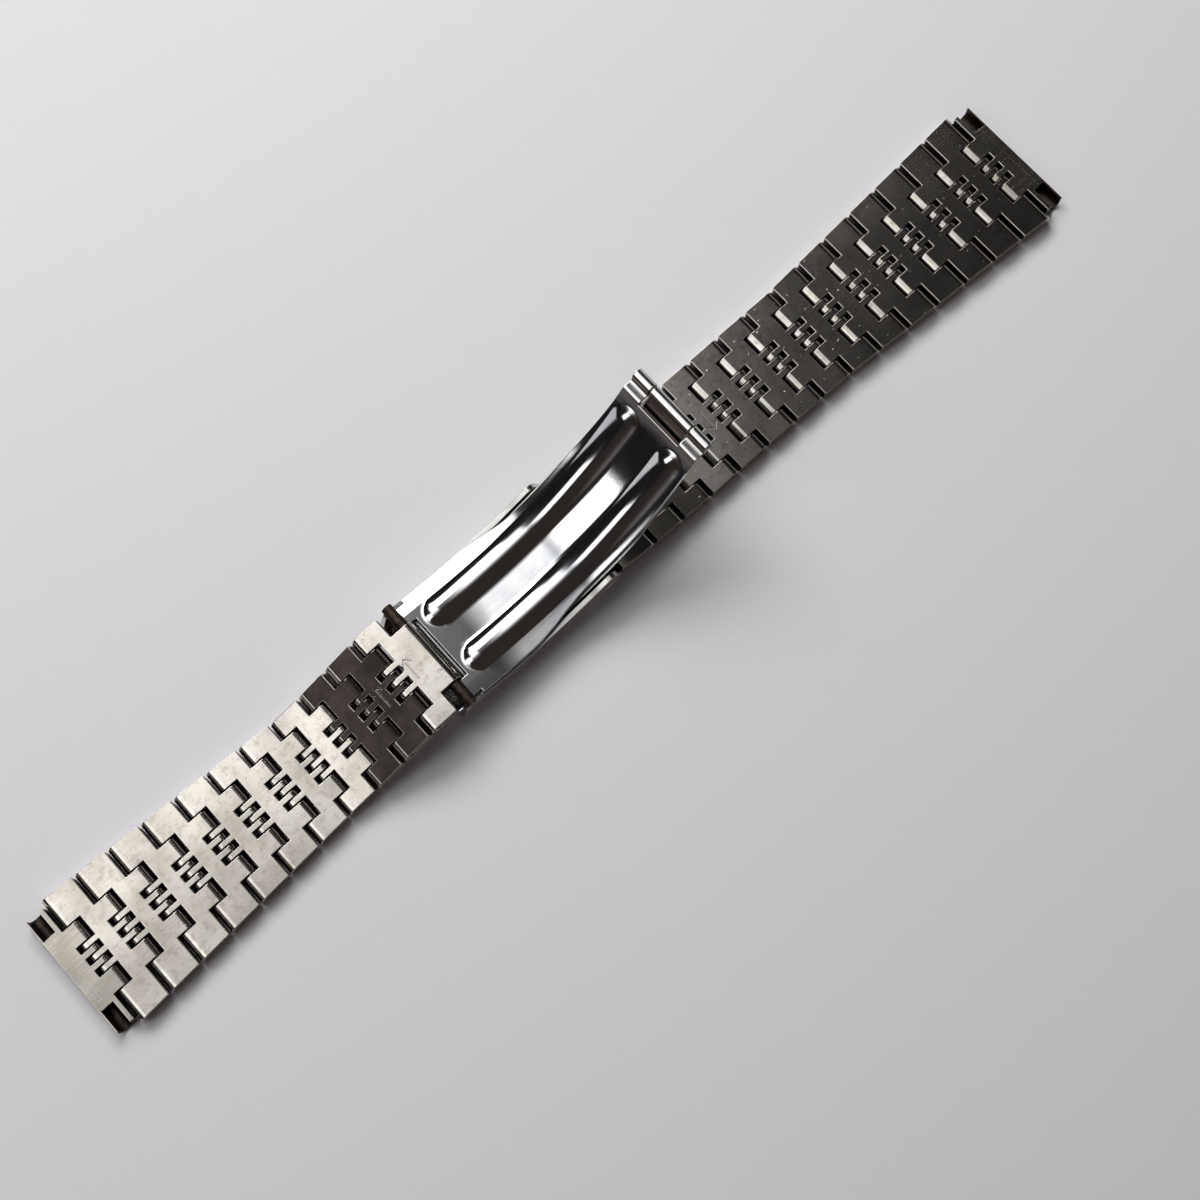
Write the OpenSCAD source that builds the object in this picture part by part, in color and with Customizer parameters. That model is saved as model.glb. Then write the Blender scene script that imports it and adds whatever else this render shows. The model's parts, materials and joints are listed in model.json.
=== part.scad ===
// Steel watch bracelet with a folding clasp, lying on a table with its inner side up and its clasp closed.
// X runs along the bracelet from the b lug end to the a lug end, Y runs across it, and Z points up.
// Lengths are in millimetres. The origin is in the middle of the bracelet, on the table.

/* [Bracelet links] */
// Distance between the pins of one link
pitch = 5; // [4.6:0.1:5.6]
// Thickness of the links, which is also the diameter of their round knuckles
link_t = 2.4; // [2.2:0.1:2.7]
// Width of the parallel links next to the clasp
link_w = 15.3; // [15:0.1:15.6]
// Width across the widest link, beside the watch case
lug_link_w = 19.4; // [18.6:0.1:20.4]
// Links on each side that widen towards the watch case
taper_links = 7; // [5:1:9]
// Links between the clasp cover and the a lug end, with the long link that hangs on the spring bar
links_a = 15; // [12:1:17]
// Links between the clasp blade and the b lug end
links_b = 11; // [9:1:13]
// Distance from a pin to the wall of the next link's body
wall_d = 1.4; // [1.4:0.05:1.6]
// Width of a wide finger
wide_w = 2.8; // [2.4:0.1:3]
// Width of a narrow finger
narrow_w = 0.9; // [0.8:0.05:1]
// Sideways gap between neighbouring fingers
finger_gap = 0.15; // [0.1:0.05:0.2]

/* [Link pins] */
// Diameter of the link pins
pin_d = 1; // [0.8:0.05:1.2]
// Radial gap in the fingers that turn on a pin
run_gap = 0.05; // [0.03:0.01:0.08]
// Radial gap in the arms that hold a pin
hold_gap = 0.01; // [0.005:0.005:0.02]
// Metal left over the ends of the pins that stay in
pin_skin = 0.5; // [0.3:0.1:0.9]
// How far the ends of the pins that can be pushed out lie below the sides
pin_recess = 0.4; // [0.2:0.1:0.8]
// Pins next to the long link that can be pushed out of the a side
loose_a = 5; // [1:1:8]
// Pins next to the clasp link that can be pushed out of the b side
loose_b = 2; // [1:1:6]

/* [Direction arrows] */
// Length of the arrow that shows which way a pin is pushed out
arrow_l = 3.2; // [2:0.1:4]
// Width of its engraved lines
arrow_w = 0.22; // [0.15:0.01:0.3]
// Depth of its engraved lines
arrow_depth = 0.1; // [0.05:0.01:0.2]

/* [End pieces] */
// Width of the end piece that goes between the lugs of the watch case
end_w = 17.8; // [17:0.1:18.4]
// Distance from its link pin to its outer end
end_l = 4.1; // [3.9:0.1:5]
// Diameter of the bore for the lug spring bar
lug_bore_d = 1.6; // [1.3:0.1:1.8]
// Metal between that bore and the outer end
lug_wall = 0.3; // [0.25:0.05:0.5]
// Width of the tab that closes the bore on the inner side
lug_tab_w = 11.2; // [9:0.1:13]
// Width of the strip that is left between a tool notch and the last link
notch_strip = 0.65; // [0.4:0.05:0.8]
// Step from the tab down to the rim of the outer end
rim_step = 0.12; // [0.05:0.01:0.2]

/* [Clasp cover] */
// Radius of the cover's outer side, which lies on the table
cover_r = 40.2; // [36:0.1:46]
// Length of the cover along its row of holes
cover_l = 26.8; // [25:0.1:30]
// Distance from the b end of the cover to its lowest point
cover_low = 11.4; // [11:0.1:13]
// Width over the cover's walls
cover_w = 16.2; // [16.1:0.1:17.5]
// Height of the cover's walls
cover_h = 4.2; // [4.1:0.05:4.3]
// Thickness of the cover's sheet
cover_t = 0.7; // [0.5:0.05:0.8]
// Radius of the bends between the floor and the walls
cover_bend = 1.2; // [0.9:0.1:1.4]
// Radius of the corners at the ends of the walls
cover_corner = 1.3; // [0.8:0.1:1.6]

/* [Adjustment holes] */
// Number of hole pairs in the cover's walls
hole_count = 6; // [3:1:6]
// Distance between the holes
hole_pitch = 3.83; // [3.4:0.01:3.9]
// Diameter of the holes
hole_d = 0.9; // [0.8:0.05:1]
// Distance from the last hole to the a end of the cover
hole_end = 1.95; // [1.8:0.05:2.2]
// Height of the holes over the cover's outer side
hole_h = 2; // [1.95:0.05:2.1]

/* [Spring bar] */
// Diameter of the spring bar's tube
bar_d = 1.5; // [1.3:0.05:1.6]
// Diameter of its tips
tip_d = 0.8; // [0.6:0.05:0.85]
// Wall of its tube
bar_wall = 0.15; // [0.1:0.01:0.2]
// Sideways gap between the tube and the cover's walls
bar_gap = 0.45; // [0.3:0.05:0.7]
// Travel of each tip
tip_travel = 1; // [0.9:0.05:1.1]

/* [Long link] */
// Distance from the spring bar to the long link's pin
long_l = 7.4; // [7:0.1:9]
// Width of its tab inside the cover
long_tab_w = 13.4; // [12:0.1:13.8]
// Radius of the eye round the spring bar
long_eye_r = 1.1; // [1:0.05:1.15]
// Distance from the spring bar to the full body of the long link
long_body_d = 2.4; // [2.4:0.05:2.8]
// How far the hollow under the tab reaches from the spring bar, to pass the end of the cover's floor
long_under_d = 2.95; // [2.9:0.05:3.2]
// Height of the tab's underside over the spring bar's axis
long_under_h = 0.45; // [0.4:0.05:0.6]

/* [Blades] */
// Width of the wide end of the outer blade, over the cover's walls
blade_w = 15.8; // [15:0.1:16]
// Width of the middle of the outer blade
blade_waist_w = 13.5; // [13:0.1:14.5]
// Width over the barrels of the blade hinge
barrels_w = 12.8; // [11:0.1:13]
// Thickness of the outer blade's sheet
blade_t = 0.7; // [0.5:0.05:0.75]
// Thickness of the inner blade's sheet
inner_t = 0.65; // [0.5:0.05:0.7]
// Gap between the cover's walls and the outer blade
blade_lift = 0.3; // [0.2:0.05:0.5]
// Gap between the two blades
blade_gap = 0.3; // [0.2:0.05:0.4]
// Width of the inner blade
inner_w = 14.2; // [12.8:0.1:14.4]
// Angle from the cover's lowest point to the blade hinge
hinge_a = 57.2; // [50:0.2:60]
// Length of the middle barrel, which belongs to the inner blade
middle_barrel = 6.8; // [6:0.1:7.4]
// Outer radius of the barrels of the blade hinge
barrel_r = 0.8; // [0.75:0.05:0.95]
// Outer radius of the inner blade's barrel inside the cover
root_barrel_r = 0.9; // [0.8:0.05:0.95]
// Distance from the b end of the cover to the cover hinge
root_end = 3; // [2.8:0.1:3.6]
// Distance from the b end of the cover to the clasp pin
ear_end = 0.5; // [0.4:0.05:0.6]
// Outer radius of the ears round the clasp pin
ear_r = 0.75; // [0.7:0.05:0.8]
// Width over the ears
ears_w = 16.4; // [15.9:0.1:16.6]
// Width of the clasp link's tab between the ears
clasp_tab_w = 9.4; // [8.6:0.1:9.8]
// Distance from the clasp pin to the clasp link's full body
clasp_body_d = 1.9; // [1.85:0.05:2.2]
// Diameter of the clasp pin and of the hinge pins
hinge_pin_d = 0.9; // [0.8:0.05:1]
// Sideways gap beside a barrel or a tab
side_gap = 0.1; // [0.06:0.01:0.15]

/* [Blade ribs] */
// Width of a rib pressed into the outer blade
rib_w = 4; // [3:0.1:4.4]
// Height of a rib
rib_h = 0.7; // [0.4:0.05:0.8]
// Distance between the middles of the two ribs
rib_spread = 7.6; // [6.8:0.1:8]
// Distance from the clasp pin to the round end of a rib
rib_start = 2.9; // [2.3:0.1:4.4]
// Distance from the round end of a rib to the blade hinge
rib_finish = 3.6; // [3.4:0.1:5]

/* [Hidden] */
$fn = 48;
// How far pieces of one solid run into each other
eps = 0.01;
// How far cuts run past a surface
clear = 1;
// Facets of a full turn round the clasp's centre
arc_fn = 180;
knuckle_r = link_t / 2;
narrow_count = 5;
// Part of the fall from the clasp to the table that each link takes, from the clasp outwards
falls_a = [0.63, 0.23, 0.14];
falls_b = [0.083, 0.343, 0.359, 0.215];

// Half the width of the bracelet at a pin, counted from the watch case
function half_w(j) = link_w / 2 + max(0, taper_links - j) * (lug_link_w - link_w) / 2 / taper_links;
narrow_half = narrow_count * narrow_w / 2;
arm_y = narrow_half + wide_w;

// Places on the clasp are a radius and an angle from the lowest point, round one shared centre
row_r = cover_r - hole_h;
function row_a(d) = d * 180 / (PI * row_r);
rim_r = cover_r - cover_h;
outer_blade_r = rim_r - blade_lift;
blade_top_r = outer_blade_r - blade_t;
inner_blade_r = outer_blade_r + blade_gap;
ear_pin_r = rim_r - ear_r - blade_lift / 3;
root_pin_r = inner_blade_r + root_barrel_r;
hinge_pin_r = inner_blade_r + inner_t / 2;
cover_a0 = row_a(-cover_low);
cover_a1 = row_a(cover_l - cover_low);
bar_a = row_a(cover_l - cover_low - hole_end);
root_a = row_a(root_end - cover_low);
ear_a = row_a(ear_end - cover_low);
cover_in_w = cover_w - 2 * cover_t;
bar_half = cover_in_w / 2 - bar_gap;
// The tips end just inside the outer side of the walls
tip_end = cover_w / 2 - run_gap;

// Chains of pins, from the clasp outwards, as [distance from the clasp centre, height]
function spot(r, a) = [r * sin(a), cover_r - r * cos(a)];
bar_spot = spot(row_r, bar_a);
ear_spot = spot(ear_pin_r, ear_a);
function length_of(side, k) = side == "a" && k == links_a ? long_l : pitch;
function links(side) = side == "a" ? links_a : links_b;
function start_of(side) = side == "a" ? bar_spot : [-ear_spot[0], ear_spot[1]];
function fall_of(side, k) =
    let (falls = side == "a" ? falls_a : falls_b, n = links(side) - k)
    n < len(falls) ? falls[n] * (start_of(side)[1] - knuckle_r) : 0;
function slope(side, k) = asin(fall_of(side, k) / length_of(side, k));
// Pin j lies between link j and link j + 1. Pin 0 holds the end piece.
function pin_spot(side, j) =
    j == links(side) ? start_of(side)
    : pin_spot(side, j + 1)
      + length_of(side, j + 1) * [cos(slope(side, j + 1)), -sin(slope(side, j + 1))];
reach_a = pin_spot("a", 0)[0] + end_l;
reach_b = pin_spot("b", 0)[0] + end_l;
clasp_x = (reach_b - reach_a) / 2;

function two(n) = str(n < 10 ? "0" : "", n);
function link_name(side, k) = str("link_", side, two(k));
function pin_name(side, j) = str("link_pin_", side, two(j));
function is_loose(side, j) = j >= links(side) - (side == "a" ? loose_a : loose_b) && j < links(side);
loose_js_a = [for (j = [links_a - loose_a : links_a - 1]) j];
loose_js_b = [for (j = [links_b - loose_b : links_b - 1]) j];

// A bar along Y, centred on the origin
module across(d, w) {
    rotate([90, 0, 0]) cylinder(d = d, h = w, center = true);
}

// A flat shape drawn in X and Z, drawn out along Y
module side_shape(w) {
    rotate([90, 0, 0]) linear_extrude(w, center = true) children();
}

// Puts a piece drawn along +X from its clasp-side pin into the chain
module in_chain(side, j, a) {
    p = pin_spot(side, j);
    dir = side == "a" ? 1 : -1;
    translate([clasp_x + dir * p[0], 0, p[1]]) mirror([side == "a" ? 0 : 1, 0, 0]) rotate([0, a, 0]) children();
}

// Fingers as [low edge, high edge] across the link: those that point to the clasp, and those that point away
clasp_fingers = concat(
    [[-arm_y + finger_gap / 2, -narrow_half - finger_gap / 2]],
    [for (i = [1 : 2 : narrow_count - 1]) narrow_finger(i)],
    [[narrow_half + finger_gap / 2, arm_y - finger_gap / 2]]
);
inner_fingers = [for (i = [0 : 2 : narrow_count - 1]) narrow_finger(i)];
function narrow_finger(i) =
    [for (k = [0, 1]) -narrow_half + (i + k) * narrow_w + (k == 0 ? 1 : -1) * finger_gap / 2];

// Corners of fingers that stand out from a wall at x0 to x1, in the order of the list
function comb(fingers, x0, x1) = [
    for (f = fingers, p = [[x0, f[0]], [x1, f[0]], [x1, f[1]], [x0, f[1]]]) p
];
function backwards(list) = [for (i = [len(list) - 1 : -1 : 0]) list[i]];

// The outline of a link seen from above, between its pins at 0 and l, widening from half width h0 to h1
module link_plan(l, body_x, h0, h1, fingers) {
    function edge(x) = h0 + (h1 - h0) * x / l;
    wall_x = l - wall_d;
    tip_x = l + knuckle_r;
    arm_in = arm_y + finger_gap / 2;
    polygon(concat(
        [[body_x, -edge(body_x)], [tip_x, -edge(tip_x)], [tip_x, -arm_in], [wall_x, -arm_in]],
        comb(inner_fingers, wall_x, tip_x),
        [[wall_x, arm_in], [tip_x, arm_in], [tip_x, edge(tip_x)], [body_x, edge(body_x)]],
        backwards(comb(fingers, body_x, -knuckle_r))
    ));
}

// A flat strip with round knuckles at both pins, seen from the side
module strip_profile(l) {
    translate([0, -knuckle_r]) square([l, link_t]);
    circle(knuckle_r);
    translate([l, 0]) circle(knuckle_r);
}

// Sideways reach of the arrow's head, as a part of its length
arrow_head = 0.2;
// The arrow that shows which way a pin is pushed out, engraved across a link at x
module arrow(x, way) {
    head = arrow_l * arrow_head;
    v = arrow_w * sqrt(2);
    tip = arrow_l / 2;
    half = [
        [arrow_w / 2, -tip],
        [arrow_w / 2, tip - v - arrow_w / 2],
        [head, tip - v - head],
        [head + v / 2, tip - v / 2 - head]
    ];
    translate([x, 0, knuckle_r - arrow_depth])
        linear_extrude(clear)
            scale(way)
                polygon(concat(half, [[0, tip]], [for (p = backwards(half)) [-p[0], p[1]]]));
}

// Width of the pin that lies between link j and link j + 1
function pin_l(side, j) = 2 * (half_w(j) - (is_loose(side, j) ? pin_recess : pin_skin));
// Width of the bore that it goes into: through the arms, or just over the length of the pin
function bore_l(side, j) = is_loose(side, j) ? lug_link_w + clear : pin_l(side, j) + 2 * side_gap;

// The bores of link k: a running one at its clasp-side pin and a holding one at its other pin
module link_bores(side, k, first_d) {
    across(first_d, lug_link_w + clear);
    translate([length_of(side, k), 0, 0]) across(pin_d + 2 * hold_gap, bore_l(side, k - 1));
}

module link_pin(side, j) {
    color("gainsboro") across(pin_d, pin_l(side, j));
}

// Link k of a side, with the pin that it holds for good
module link(side, k) {
    l = length_of(side, k);
    if (side == "a" && k == links_a) long_link();
    else if (side == "b" && k == links_b) clasp_link();
    else color("lightsteelblue")
        difference() {
            intersection() {
                side_shape(lug_link_w + clear) strip_profile(l);
                linear_extrude(link_t, center = true)
                    link_plan(l, wall_d, half_w(k), half_w(k - 1), clasp_fingers);
            }
            link_bores(side, k, pin_d + 2 * run_gap);
            if (is_loose(side, k - 1)) arrow(l / 2, side == "a" ? -1 : 1);
        }
    if (!is_loose(side, k - 1)) translate([l, 0, 0]) link_pin(side, k - 1);
}

// The link that hangs on the spring bar: a thin tab inside the cover and a full body outside it
module long_link() {
    color("lightsteelblue")
        difference() {
            union() {
                intersection() {
                    side_shape(link_w + clear) strip_profile(long_l);
                    linear_extrude(link_t, center = true)
                        link_plan(long_l, long_body_d, half_w(links_a), half_w(links_a - 1), []);
                    side_shape(link_w + clear)
                        polygon([
                            [0, long_under_h], [long_under_d, long_under_h], [long_under_d, -link_t],
                            [2 * long_l, -link_t], [2 * long_l, link_t], [0, link_t]
                        ]);
                }
                side_shape(long_tab_w) {
                    circle(long_eye_r);
                    translate([0, long_under_h]) square([long_body_d + 2 * eps, long_eye_r - long_under_h]);
                }
            }
            link_bores("a", links_a, bar_d + 2 * run_gap);
            arrow((long_body_d + long_l - wall_d) / 2, -1);
        }
}

// The link that hangs on the clasp pin, with one broad tab between the ears of the blade
module clasp_link() {
    color("lightsteelblue")
        difference() {
            intersection() {
                side_shape(link_w + clear) strip_profile(pitch);
                linear_extrude(link_t, center = true)
                    link_plan(pitch, clasp_body_d, half_w(links_b), half_w(links_b - 1),
                              [[-clasp_tab_w / 2, clasp_tab_w / 2]]);
            }
            link_bores("b", links_b, hinge_pin_d + 2 * run_gap);
            arrow((clasp_body_d + pitch - wall_d) / 2, 1);
        }
}

// The piece between the lugs: fingers, a full strip, and a bored tab between two tool notches
module end_piece() {
    bore_x = end_l - lug_wall - lug_bore_d / 2;
    round_r = min(knuckle_r, lug_bore_d / 2 + lug_wall);
    notch_x = wall_d + notch_strip;
    color("slategray")
        difference() {
            intersection() {
                side_shape(end_w) {
                    circle(knuckle_r);
                    translate([0, -knuckle_r]) square([end_l - round_r, link_t]);
                    translate([end_l - round_r, -knuckle_r + round_r]) circle(round_r);
                    translate([end_l - round_r - eps, -knuckle_r + round_r])
                        square([round_r + eps, link_t - round_r - rim_step]);
                }
                linear_extrude(link_t, center = true)
                    polygon(concat(
                        [[wall_d, -end_w / 2], [end_l, -end_w / 2], [end_l, end_w / 2], [wall_d, end_w / 2]],
                        backwards(comb(clasp_fingers, wall_d, -knuckle_r))
                    ));
            }
            across(pin_d + 2 * run_gap, end_w + clear);
            translate([bore_x, 0, 0]) across(lug_bore_d, end_w + clear);
            for (y = [-lug_tab_w / 2 - end_w, lug_tab_w / 2])
                translate([notch_x, y, 0]) cube([end_l - lug_wall - notch_x, end_w, link_t]);
            // The rim of the outer end lies a step below the tab
            translate([end_l - lug_wall, -end_w / 2 - clear, knuckle_r - rim_step])
                cube([lug_wall + clear, end_w + 2 * clear, link_t]);
        }
}

// Puts a piece drawn round the origin at a place on the clasp
module on_clasp(r, a) {
    p = spot(r, a);
    translate([clasp_x + p[0], 0, p[1]]) rotate([0, -a, 0]) children();
}

// Turns a flat shape, drawn as radius and width, round the clasp's centre from angle a0 to a1. Width runs along -Y.
module arc_of(a0, a1) {
    translate([clasp_x, 0, cover_r]) rotate([90, 0, 0]) rotate([0, 0, a0 - 90])
        rotate_extrude(angle = a1 - a0, $fn = arc_fn) children();
}

// The cross section of the cover: a floor and two walls with round bends between them
module cover_section() {
    module block(w, r_out, bend) {
        translate([rim_r - clear, -w / 2 + bend]) square([r_out - rim_r + clear, w - 2 * bend]);
        translate([rim_r - clear, -w / 2]) square([r_out - rim_r + clear - bend, w]);
        for (s = [-1, 1])
            translate([r_out - bend, s * (w / 2 - bend)]) circle(bend);
    }
    difference() {
        block(cover_w, cover_r, cover_bend);
        block(cover_in_w, cover_r - cover_t, cover_bend - cover_t);
        translate([0, -cover_w]) square([rim_r, 2 * cover_w]);
    }
}

// What is cut off the corner of the walls at one end of the cover, to leave it round
module wall_corner(a, way) {
    on_clasp(rim_r, a)
        side_shape(cover_w + clear)
            difference() {
                translate([way > 0 ? -cover_corner : -clear, -cover_corner]) square(cover_corner + clear);
                translate([-way * cover_corner, -cover_corner]) circle(cover_corner);
            }
}

module cover() {
    color("silver")
        difference() {
            arc_of(cover_a0, cover_a1) cover_section();
            for (i = [0 : hole_count - 1])
                on_clasp(row_r, bar_a - row_a(i * hole_pitch)) across(hole_d, cover_w + clear);
            on_clasp(root_pin_r, root_a)
                across(hinge_pin_d + 2 * hold_gap, cover_hinge_pin_l + 2 * side_gap);
            wall_corner(cover_a0, -1);
            wall_corner(cover_a1, 1);
        }
}

// The ends of the cover's hinge pin stay inside its walls, under a thin skin
cover_hinge_pin_l = cover_w - cover_t;

module cover_hinge_pin() {
    color("gainsboro") on_clasp(root_pin_r, root_a) across(hinge_pin_d, cover_hinge_pin_l);
}

// Half the width of a blade at angle a, easing from half width h0 at a0 to h1 at a1
function ease(a, a0, a1, h0, h1) =
    a <= a0 ? h0 : a >= a1 ? h1 : h0 + (h1 - h0) * (1 - cos(180 * (a - a0) / (a1 - a0))) / 2;

// The outline of a blade seen from above, through points of [angle, half width] at radius r
module blade_plan(r, edge) {
    linear_extrude(cover_r)
        polygon([
            for (s = [1, -1], p = s > 0 ? edge : backwards(edge))
                [clasp_x + r * sin(p[0]), s * p[1]]
        ]);
}

// The inner blade starts to narrow this far past the spring bar, down to this width in front of its tab
inner_taper_l = 3.8;
inner_taper_a = bar_a + blade_a(inner_taper_l);
inner_end_w = barrels_w - 0.8;
// Length of the tab that joins the middle barrel, and how far it stays off the hinge pin's axis
inner_tab_l = 3.2;
inner_tab_stop = 0.55;
function blade_a(d) = d * 180 / (PI * hinge_pin_r);

// The lower blade, hinged in the cover and to the outer blade
module inner_blade() {
    tab_a = hinge_a - blade_a(inner_tab_l);
    tab_half = middle_barrel / 2 - side_gap;
    taper_steps = 12;
    taper = [
        for (i = [0 : taper_steps], a = inner_taper_a + (tab_a - inner_taper_a) * i / taper_steps)
            [a, ease(a, inner_taper_a, tab_a, inner_w / 2, inner_end_w / 2)]
    ];
    edge = concat([[root_a - 1, inner_w / 2]], taper, [[tab_a, tab_half], [hinge_a, tab_half]]);
    color("lightgray")
        difference() {
            union() {
                intersection() {
                    arc_of(root_a, hinge_a - blade_a(inner_tab_stop))
                        translate([inner_blade_r, -inner_w / 2]) square([inner_t, inner_w]);
                    blade_plan(inner_blade_r, edge);
                }
                on_clasp(root_pin_r, root_a) across(2 * root_barrel_r, inner_w);
                on_clasp(hinge_pin_r, hinge_a) across(2 * barrel_r, 2 * tab_half);
            }
            on_clasp(root_pin_r, root_a) across(hinge_pin_d + 2 * run_gap, cover_w);
            on_clasp(hinge_pin_r, hinge_a) across(hinge_pin_d + 2 * run_gap, cover_w);
        }
}

module blade_hinge_pin() {
    color("gainsboro") on_clasp(hinge_pin_r, hinge_a) across(hinge_pin_d, barrels_w - 2 * side_gap);
}

// The part of a bent round bar that lies between two radii, with ends that are round as seen along the radius
module rib_bar(y, w, bar_r, r0, r1) {
    a0 = ear_a + blade_a(rib_start) + rib_round_a;
    a1 = hinge_a - blade_a(rib_finish) - rib_round_a;
    intersection() {
        arc_of(a0 - rib_round_a, a1 + rib_round_a)
            intersection() {
                translate([rib_bar_at, y]) circle(bar_r);
                translate([r0, y - w]) square([r1 - r0, 2 * w]);
            }
        union() {
            arc_of(a0, a1) translate([r0 - clear, y - w / 2]) square([r1 - r0 + 2 * clear, w]);
            for (a = [a0, a1])
                on_clasp(rib_bar_at, a) translate([0, -y, 0]) cylinder(d = w, h = rib_bar_at / 2, center = true);
        }
    }
}
// A rib is the top of a thicker round bar that lies partly below the sheet
rib_bar_r = (rib_w * rib_w / 4 + rib_h * rib_h) / 2 / rib_h;
rib_bar_at = blade_top_r - rib_h + rib_bar_r;
rib_round_a = rib_w / 2 * 180 / (PI * blade_top_r);

// Distances from the clasp pin to the end of the cut-out between the ears, and to the notches in the sides
cut_out_l = 2.15;
notch_start = 0.7;
notch_finish = 2.28;
notch_depth = 0.55;
cut_out_a = ear_a + blade_a(cut_out_l);
notch_a0 = ear_a + blade_a(notch_start);
notch_a1 = ear_a + blade_a(notch_finish);
// The outer blade keeps its waist from before the spring bar to past it
waist_before = 1.25;
waist_past = 6.3;
waist_a0 = bar_a - blade_a(waist_before);
waist_a1 = bar_a + blade_a(waist_past);
// Distance from the end of its sheet to the blade hinge, and where its two tabs start and finish their step down
sheet_end_l = 2.28;
step_lap = 0.38;
step_start = 0.32;
step_finish = 1.27;
sheet_end_a = hinge_a - blade_a(sheet_end_l);
step_lap_a = blade_a(step_lap);
step_a0 = sheet_end_a + blade_a(step_start);
step_a1 = sheet_end_a + blade_a(step_finish);

// The sheet of the outer blade, with its ribs, over a span of angles
module blade_sheet() {
    steps = 36;
    a0 = ear_a;
    a1 = sheet_end_a + 1;
    function half_at(a) =
        a < waist_a0 ? ease(a, 0, waist_a0, blade_w / 2, blade_waist_w / 2)
        : ease(a, waist_a1, sheet_end_a, blade_waist_w / 2, barrels_w / 2);
    intersection() {
        union() {
            arc_of(a0, sheet_end_a)
                translate([blade_top_r, -blade_w / 2]) square([blade_t, blade_w]);
            for (y = [-rib_spread / 2, rib_spread / 2])
                rib_bar(y, rib_w, rib_bar_r, blade_top_r - 2 * rib_h, blade_top_r + blade_t / 2);
        }
        blade_plan(outer_blade_r, [for (i = [0 : steps], a = a0 - 1 + (a1 + 1 - a0) * i / steps) [a, half_at(a)]]);
    }
}

// The two tabs that step down from the sheet to the outer barrels, seen from the side
module step_profile() {
    mid_r = blade_top_r + blade_t / 2;
    line = [
        spot(mid_r, sheet_end_a - step_lap_a),
        spot(mid_r, step_a0),
        spot(hinge_pin_r, step_a1),
        spot(hinge_pin_r, hinge_a)
    ];
    for (i = [0 : len(line) - 2]) {
        d = line[i + 1] - line[i];
        n = blade_t / 2 * [-d[1], d[0]] / norm(d);
        polygon([line[i] + n, line[i + 1] + n, line[i + 1] - n, line[i] - n]);
    }
    for (i = [1 : len(line) - 2])
        translate(line[i]) circle(blade_t / 2);
}

// The outer blade, which is seen on the inner side of the bracelet
module outer_blade() {
    barrel_l = (barrels_w - middle_barrel) / 2 - side_gap;
    barrel_y = (barrels_w - barrel_l) / 2;
    cut_w = clasp_tab_w + 2 * side_gap;
    color("whitesmoke")
        difference() {
            union() {
                difference() {
                    blade_sheet();
                    // The hollow side of the ribs
                    for (y = [-rib_spread / 2, rib_spread / 2])
                        rib_bar(y, rib_w - 2 * blade_t, rib_bar_r - blade_t, blade_top_r - 2 * rib_h, outer_blade_r + clear);
                    // Notches in the sides beside the ears
                    for (s = [-1, 1])
                        arc_of(notch_a0, notch_a1)
                            translate([blade_top_r - clear, s * (blade_w - notch_depth) - blade_w / 2])
                                square([blade_t + 2 * clear, blade_w]);
                }
                for (s = [-1, 1])
                    translate([clasp_x, s * barrel_y, 0]) side_shape(barrel_l) step_profile();
                for (s = [-1, 1])
                    on_clasp(hinge_pin_r, hinge_a)
                        translate([0, s * barrel_y, 0]) across(2 * barrel_r, barrel_l);
                on_clasp(ear_pin_r, ear_a) across(2 * ear_r, ears_w);
            }
            // The cut-out for the clasp link's tab
            arc_of(ear_a - blade_a(ear_r + clear), cut_out_a)
                translate([blade_top_r - clear, -cut_w / 2]) square([blade_t + 2 * clear + ear_r, cut_w]);
            on_clasp(ear_pin_r, ear_a) across(hinge_pin_d + 2 * hold_gap, ears_w + clear);
            on_clasp(hinge_pin_r, hinge_a) across(hinge_pin_d + 2 * hold_gap, barrels_w + clear);
        }
}

module clasp_pin() {
    color("gainsboro") on_clasp(ear_pin_r, ear_a) across(hinge_pin_d, ears_w - side_gap);
}

// Puts a piece of the spring bar in the last hole of the cover
module on_bar() {
    in_chain("a", links_a, slope("a", links_a)) children();
}

// The tips slide in the tube, and its crimped ends hold them by their heads
tip_head_d = bar_d - 2 * bar_wall - 2 * run_gap;
tip_head_l = 1.1;
crimp_l = 0.35;
tip_play = 0.06;
// Wall of the sleeve that the closed coils of the spring form, and its play between the tips
spring_wall = 0.2;
spring_play = 0.2;

module spring_bar_tube() {
    color("gray")
        on_bar()
            difference() {
                across(bar_d, 2 * bar_half);
                across(bar_d - 2 * bar_wall, 2 * (bar_half - crimp_l));
                across(tip_d + 2 * run_gap - tip_play, 2 * bar_half + clear);
            }
}

// The closed coils of the spring, at the length that both tips press it to
module spring_bar_spring() {
    spring_l = 2 * (bar_half - crimp_l - tip_head_l - tip_travel) - spring_play;
    color("dimgray")
        on_bar()
            difference() {
                across(tip_head_d, spring_l);
                across(tip_head_d - 2 * spring_wall, spring_l + clear);
            }
}

module spring_bar_tip() {
    shoulder = bar_half - crimp_l - run_gap;
    color("gainsboro") {
        translate([0, shoulder - tip_head_l / 2, 0]) across(tip_head_d, tip_head_l);
        translate([0, (shoulder + tip_end) / 2 - eps, 0]) across(tip_d - tip_play, tip_end - shoulder + 2 * eps);
    }
}

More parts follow.
